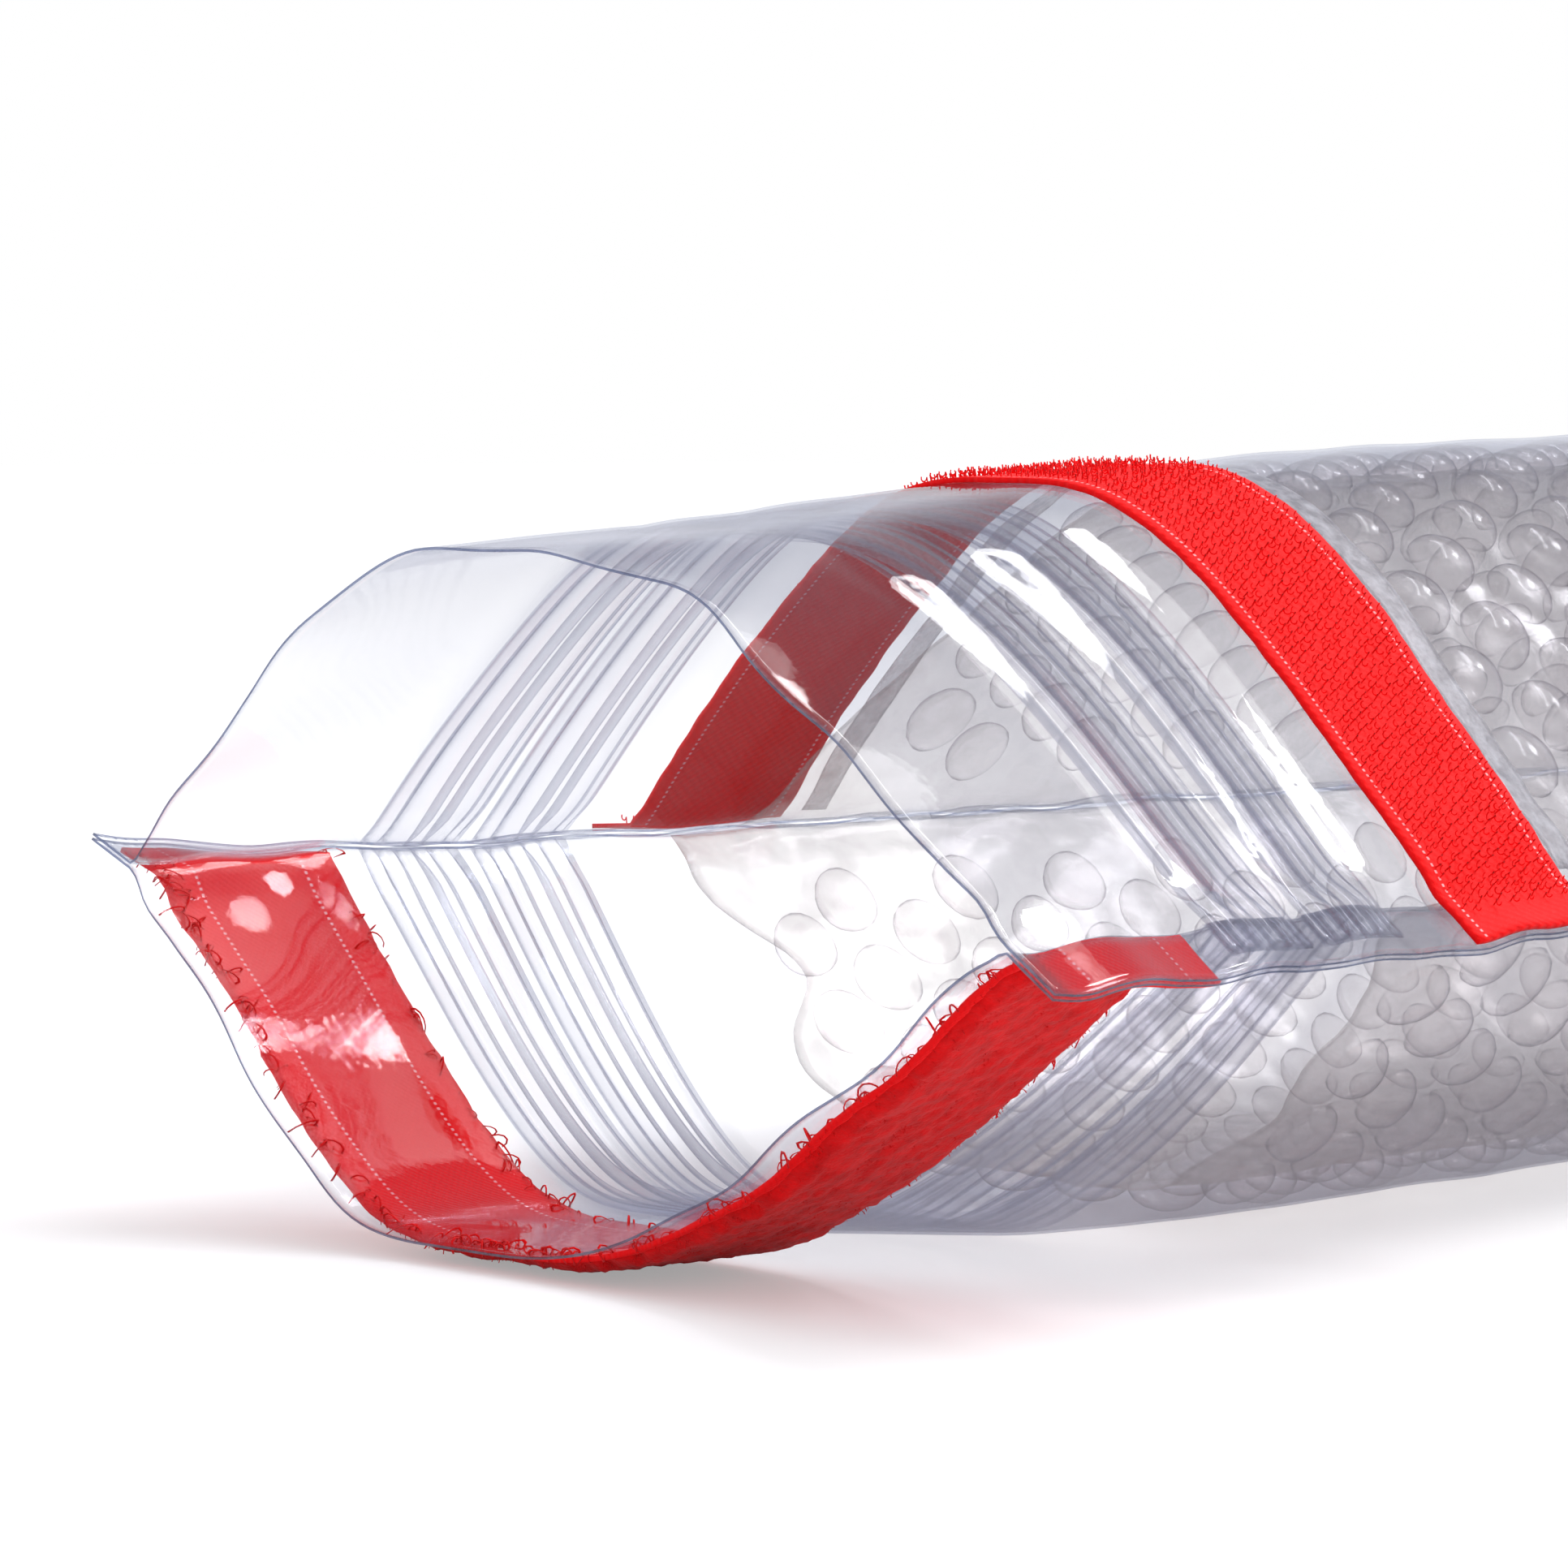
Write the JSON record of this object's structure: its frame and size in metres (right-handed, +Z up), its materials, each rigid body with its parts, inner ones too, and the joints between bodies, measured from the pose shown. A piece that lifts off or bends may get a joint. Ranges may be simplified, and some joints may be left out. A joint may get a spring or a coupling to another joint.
{
  "type": "roll-top travel bag",
  "caption": "Clear film travel bag for a bottle, open at one end, with two press-to-close tracks, a hook-and-loop roll-top closure and a bubble film liner.",
  "frame": {"origin": "middle of the bag's length and width, on the surface that the bag lies on", "axes": "+X across the bag, +Y from the open mouth to the bottom weld, +Z up from the lower panel to the upper panel"},
  "size_m": [0.174, 0.43, 0.0925],
  "materials": {
    "clear_film": "clear glossy vinyl film",
    "track_film": "clear glossy extruded strip",
    "liner_film": "cloudy thin film",
    "bubble_film": "cloudy thin film, formed into bubbles",
    "bond_film": "whitish adhesive strip",
    "red_weave": "woven nylon tape",
    "red_hooks": "nylon monofilament hooks",
    "red_pile": "brushed nylon loops"
  },
  "bodies": {
    "lower_half": {"lower_panel": "clear_film", "front_zip_rib": "track_film", "rear_zip_rib": "track_film", "loop_tape_ground": "red_weave", "loop_tape_pile": "red_pile", "lower_liner_film": "liner_film", "lower_liner_bubbles": "bubble_film"},
    "upper_half": {"upper_panel": "clear_film", "front_zip_channel": "track_film", "rear_zip_channel": "track_film", "hook_tape_ground": "red_weave", "hook_tape_hooks": "red_hooks", "liner_bond_strip": "bond_film", "upper_liner_film": "liner_film", "upper_liner_bubbles": "bubble_film"}
  },
  "joints": [
    {"name": "mouth_close", "type": "slide", "parent": "lower_half", "child": "upper_half", "axis": [0, 0, -1], "range_m": [0, 0.0833], "deforming": ["lower_panel", "front_zip_rib", "rear_zip_rib", "loop_tape_ground", "loop_tape_pile", "lower_liner_film", "lower_liner_bubbles", "upper_panel", "front_zip_channel", "rear_zip_channel", "hook_tape_ground", "hook_tape_hooks", "liner_bond_strip", "upper_liner_film", "upper_liner_bubbles"]}
  ]
}
